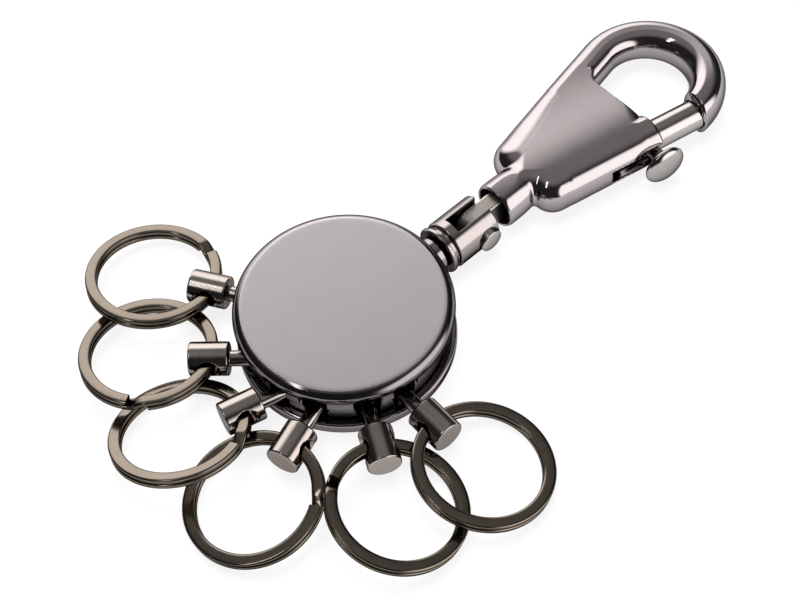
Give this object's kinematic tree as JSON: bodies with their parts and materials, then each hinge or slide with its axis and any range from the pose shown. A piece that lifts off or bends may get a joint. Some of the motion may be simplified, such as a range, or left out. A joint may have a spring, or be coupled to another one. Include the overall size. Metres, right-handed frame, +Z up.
{
  "type": "belt key clip",
  "caption": "Belt key clip: a sprung bolt hook on a hinged swivel neck, and a flat disc whose edge holds pull-out pins with split key rings.",
  "frame": {"origin": "on the disc's axis at its underside, which is also the head of the centre rivet", "axes": "+X from the disc towards the hook, +Z up through the cover cap, +Y towards the hook's closed left side"},
  "size_m": [0.1367, 0.0909, 0.0115],
  "materials": {
    "satin_cover": "satin dark nickel face with a polished rounded edge",
    "polished_housing": "polished dark nickel plate",
    "polished_plate": "polished dark nickel plate",
    "polished_clevis": "polished dark nickel plate",
    "polished_hook": "polished dark nickel plate on a die casting",
    "bare_steel": "plain turned or stamped steel, unplated",
    "spring_steel": "drawn spring wire",
    "pin_barrels": "polished dark nickel plate, slightly warm",
    "ring_wire": "polished dark nickel plate on flat spring wire",
    "bright_pin": "polished nickel",
    "tongue_steel": "polished dark nickel plate",
    "bright_bolt": "polished nickel, turned"
  },
  "bodies": {
    "disc": {"cover_cap": "satin_cover", "notched_housing": "polished_housing", "keeper_ring": "bare_steel", "centre_rivet": "bare_steel", "plate_spring": "spring_steel", "hook_stud": "bare_steel"},
    "plate": {"release_plate": "polished_plate"},
    "pin_1": {"pin_1": "pin_barrels"},
    "ring_1": {"ring_1": "ring_wire"},
    "pin_2": {"pin_2": "pin_barrels"},
    "ring_2": {"ring_2": "ring_wire"},
    "pin_3": {"pin_3": "pin_barrels"},
    "ring_3": {"ring_3": "ring_wire"},
    "pin_4": {"pin_4": "pin_barrels"},
    "ring_4": {"ring_4": "ring_wire"},
    "pin_5": {"pin_5": "pin_barrels"},
    "ring_5": {"ring_5": "ring_wire"},
    "pin_6": {"pin_6": "pin_barrels"},
    "ring_6": {"ring_6": "ring_wire"},
    "clevis": {"clevis": "polished_clevis", "clevis_pin": "bright_pin"},
    "tongue": {"tongue": "tongue_steel"},
    "hook": {"hook_body": "polished_hook", "bolt_spring": "spring_steel"},
    "bolt": {"spring_bolt": "bright_bolt", "bolt_knob": "bright_bolt"}
  },
  "joints": [
    {"name": "plate_press", "type": "slide", "parent": "disc", "child": "plate", "axis": [0, 0, 1], "range_m": [0, 0.002], "stiffness_N_per_m": 3000, "springref_m": -0.002, "deforming": ["plate_spring"]},
    {"name": "pin_1_swing", "type": "hinge", "parent": "plate", "child": "pin_1", "pos_m": [-0.00848, 0.01531, 0.00465], "axis": [0, 0, 1], "range_deg": [-4, 8]},
    {"name": "ring_1_turn", "type": "hinge", "parent": "pin_1", "child": "ring_1", "pos_m": [-0.01783, 0.03106, 0.00456], "axis": [0.1386, 0.0901, 0.9862], "continuous": true},
    {"name": "pin_2_swing", "type": "hinge", "parent": "plate", "child": "pin_2", "pos_m": [-0.01645, 0.00598, 0.00465], "axis": [0, 0, 1], "range_deg": [-4, 8]},
    {"name": "ring_2_turn", "type": "hinge", "parent": "pin_2", "child": "ring_2", "pos_m": [-0.02829, 0.01901, 0.00437], "axis": [0.1051, 0.1188, 0.9873], "continuous": true},
    {"name": "pin_3_swing", "type": "hinge", "parent": "plate", "child": "pin_3", "pos_m": [-0.01728, -0.00274, 0.00465], "axis": [0, 0, 1], "range_deg": [-4, 8]},
    {"name": "ring_3_turn", "type": "hinge", "parent": "pin_3", "child": "ring_3", "pos_m": [-0.03401, 0.00306, 0.00465], "axis": [0.1113, 0.274, 0.9553], "continuous": true},
    {"name": "pin_4_swing", "type": "hinge", "parent": "plate", "child": "pin_4", "pos_m": [-0.01484, -0.00927, 0.00465], "axis": [0, 0, 1], "range_deg": [-4, 8]},
    {"name": "ring_4_turn", "type": "hinge", "parent": "pin_4", "child": "ring_4", "pos_m": [-0.03258, -0.01428, 0.00326], "axis": [-0.1556, 0.1045, 0.9823], "continuous": true},
    {"name": "pin_5_swing", "type": "hinge", "parent": "plate", "child": "pin_5", "pos_m": [-0.00848, -0.01531, 0.00465], "axis": [0, 0, 1], "range_deg": [-4, 8]},
    {"name": "ring_5_turn", "type": "hinge", "parent": "pin_5", "child": "ring_5", "pos_m": [-0.01691, -0.03172, 0.0042], "axis": [0.2185, -0.1567, 0.9632], "continuous": true},
    {"name": "pin_6_swing", "type": "hinge", "parent": "plate", "child": "pin_6", "pos_m": [-0.00228, -0.01735, 0.00465], "axis": [0, 0, 1], "range_deg": [-4, 8]},
    {"name": "ring_6_turn", "type": "hinge", "parent": "pin_6", "child": "ring_6", "pos_m": [-0.00166, -0.03576, 0.00354], "axis": [0.1819, -0.0875, 0.9794], "continuous": true},
    {"name": "clevis_swivel", "type": "hinge", "parent": "disc", "child": "clevis", "pos_m": [0.0215, 0, 0.00465], "axis": [1, 0, 0], "continuous": true},
    {"name": "tongue_hinge", "type": "hinge", "parent": "clevis", "child": "tongue", "pos_m": [0.03, 0, 0.00465], "axis": [0, 1, 0], "range_deg": [-30, 30]},
    {"name": "hook_swivel", "type": "hinge", "parent": "tongue", "child": "hook", "pos_m": [0.0355, 0, 0.00465], "axis": [1, 0, 0], "continuous": true},
    {"name": "bolt_slide", "type": "slide", "parent": "hook", "child": "bolt", "axis": [0.9799, -0.1994, 0], "range_m": [-0.0082, 0], "stiffness_N_per_m": 400, "springref_m": 0.01, "deforming": ["bolt_spring"]}
  ],
  "couplings": [
    {"joint": "pin_1_swing", "follows": "pin_3_swing", "ratio": 1},
    {"joint": "pin_2_swing", "follows": "pin_3_swing", "ratio": 1},
    {"joint": "pin_4_swing", "follows": "pin_3_swing", "ratio": 1},
    {"joint": "pin_5_swing", "follows": "pin_3_swing", "ratio": 1},
    {"joint": "pin_6_swing", "follows": "pin_3_swing", "ratio": 1}
  ]
}
